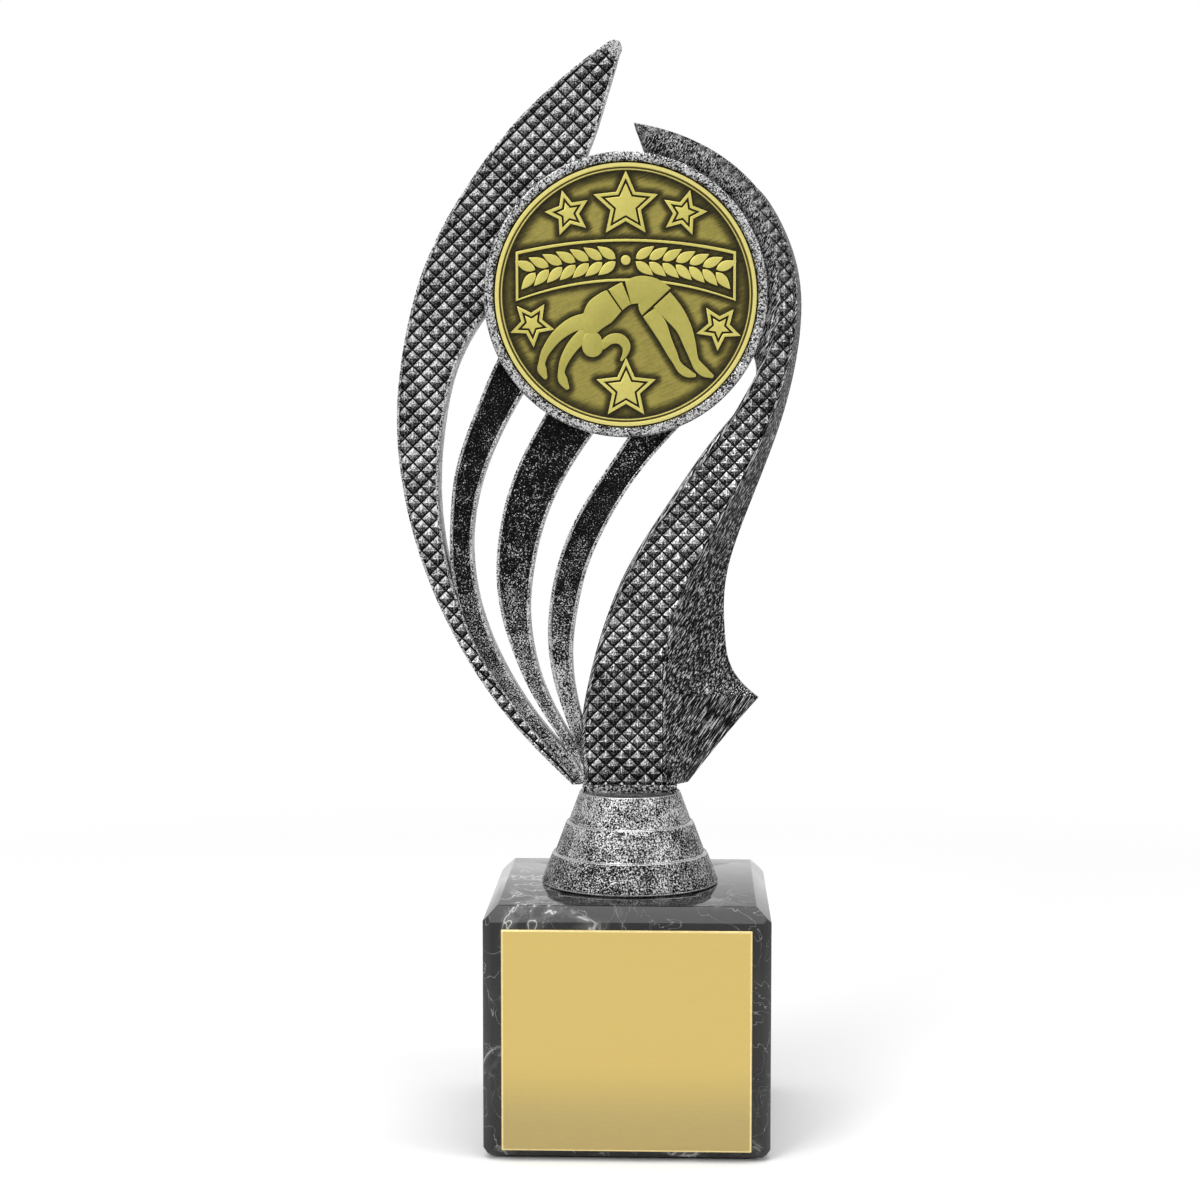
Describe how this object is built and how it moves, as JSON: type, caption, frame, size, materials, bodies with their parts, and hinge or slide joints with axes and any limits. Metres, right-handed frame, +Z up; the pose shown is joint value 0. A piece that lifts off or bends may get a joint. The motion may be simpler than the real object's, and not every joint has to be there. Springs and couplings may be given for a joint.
{
  "type": "figure trophy",
  "caption": "Free-standing award: black marble block, stepped riser and an openwork flame-shaped figure that holds a round relief medal, with a blank gold plate.",
  "frame": {"origin": "centre of the felt underside, on the tie rod's axis (the middle of the block, not of the lopsided figure)", "axes": "+Z up; -Y is the front, which the medal and the engraving plate face; +X to the viewer's right"},
  "size_m": [0.0779, 0.0548, 0.2108],
  "materials": {
    "marble": "polished",
    "felt": "matt",
    "tape": "matt",
    "plate": "satin gold",
    "zinc_steel": "zinc plated",
    "antique_silver": "metallised, antiqued silver",
    "foam": "matt",
    "antique_gold": "antiqued"
  },
  "bodies": {
    "base": {"marble_base": "marble", "felt_pad": "felt", "plate_tape": "tape", "engraving_plate": "plate"},
    "figure": {"tie_rod": "zinc_steel", "base_nut": "zinc_steel", "spring_washer": "zinc_steel", "base_washer": "zinc_steel", "captive_nut": "zinc_steel", "riser_skirt": "antique_silver", "figure_foot": "antique_silver", "left_blade": "antique_silver", "rib_left": "antique_silver", "rib_middle": "antique_silver", "rib_right": "antique_silver", "ribbon": "antique_silver", "fin": "antique_silver", "medal_cup": "antique_silver", "medal_pad": "foam", "medal": "antique_gold"}
  },
  "joints": [
    {"name": "figure_turn", "type": "hinge", "parent": "base", "child": "figure", "pos_m": [0, 0, 0.048], "axis": [0, 0, 1], "continuous": true}
  ]
}
